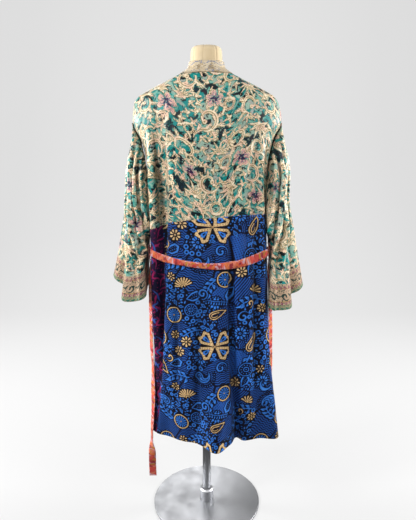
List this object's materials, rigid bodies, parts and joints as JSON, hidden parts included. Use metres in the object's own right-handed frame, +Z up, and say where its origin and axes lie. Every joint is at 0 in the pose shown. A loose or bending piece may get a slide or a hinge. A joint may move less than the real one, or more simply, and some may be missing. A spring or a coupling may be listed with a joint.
{
  "type": "kimono robe on dress form",
  "caption": "knee-length kimono robe of patched printed silk with wide sleeves and a tie belt, hanging open on a limbless dress form with a round stand",
  "frame": {"origin": "centre of the stand's base, on the floor", "axes": "+Z up, the open front faces -Y, the back +Y, the wearer's left is +X"},
  "size_m": [0.646, 0.38, 1.5475],
  "materials": {
    "floral_silk": "soft satin, printed",
    "blue_silk": "soft satin, printed",
    "plum_silk": "soft satin, printed",
    "coral_silk": "soft satin, printed",
    "ivory_silk": "soft satin, printed",
    "form_cover": "matt jersey, stretched",
    "stand_steel": "brushed"
  },
  "bodies": {
    "root": {"back_upper": "floral_silk", "front_upper_left": "floral_silk", "front_upper_right": "floral_silk", "sleeve_left": "floral_silk", "sleeve_right": "floral_silk", "back_lower": "blue_silk", "front_lower_left": "plum_silk", "front_lower_right": "plum_silk", "neckband": "ivory_silk", "belt_back": "coral_silk", "belt_end_left": "coral_silk", "belt_end_right": "coral_silk", "belt_loop_left": "coral_silk", "belt_loop_right": "coral_silk", "dress_form": "form_cover", "stand_pole": "stand_steel", "stand_base": "stand_steel"}
  },
  "joints": []
}
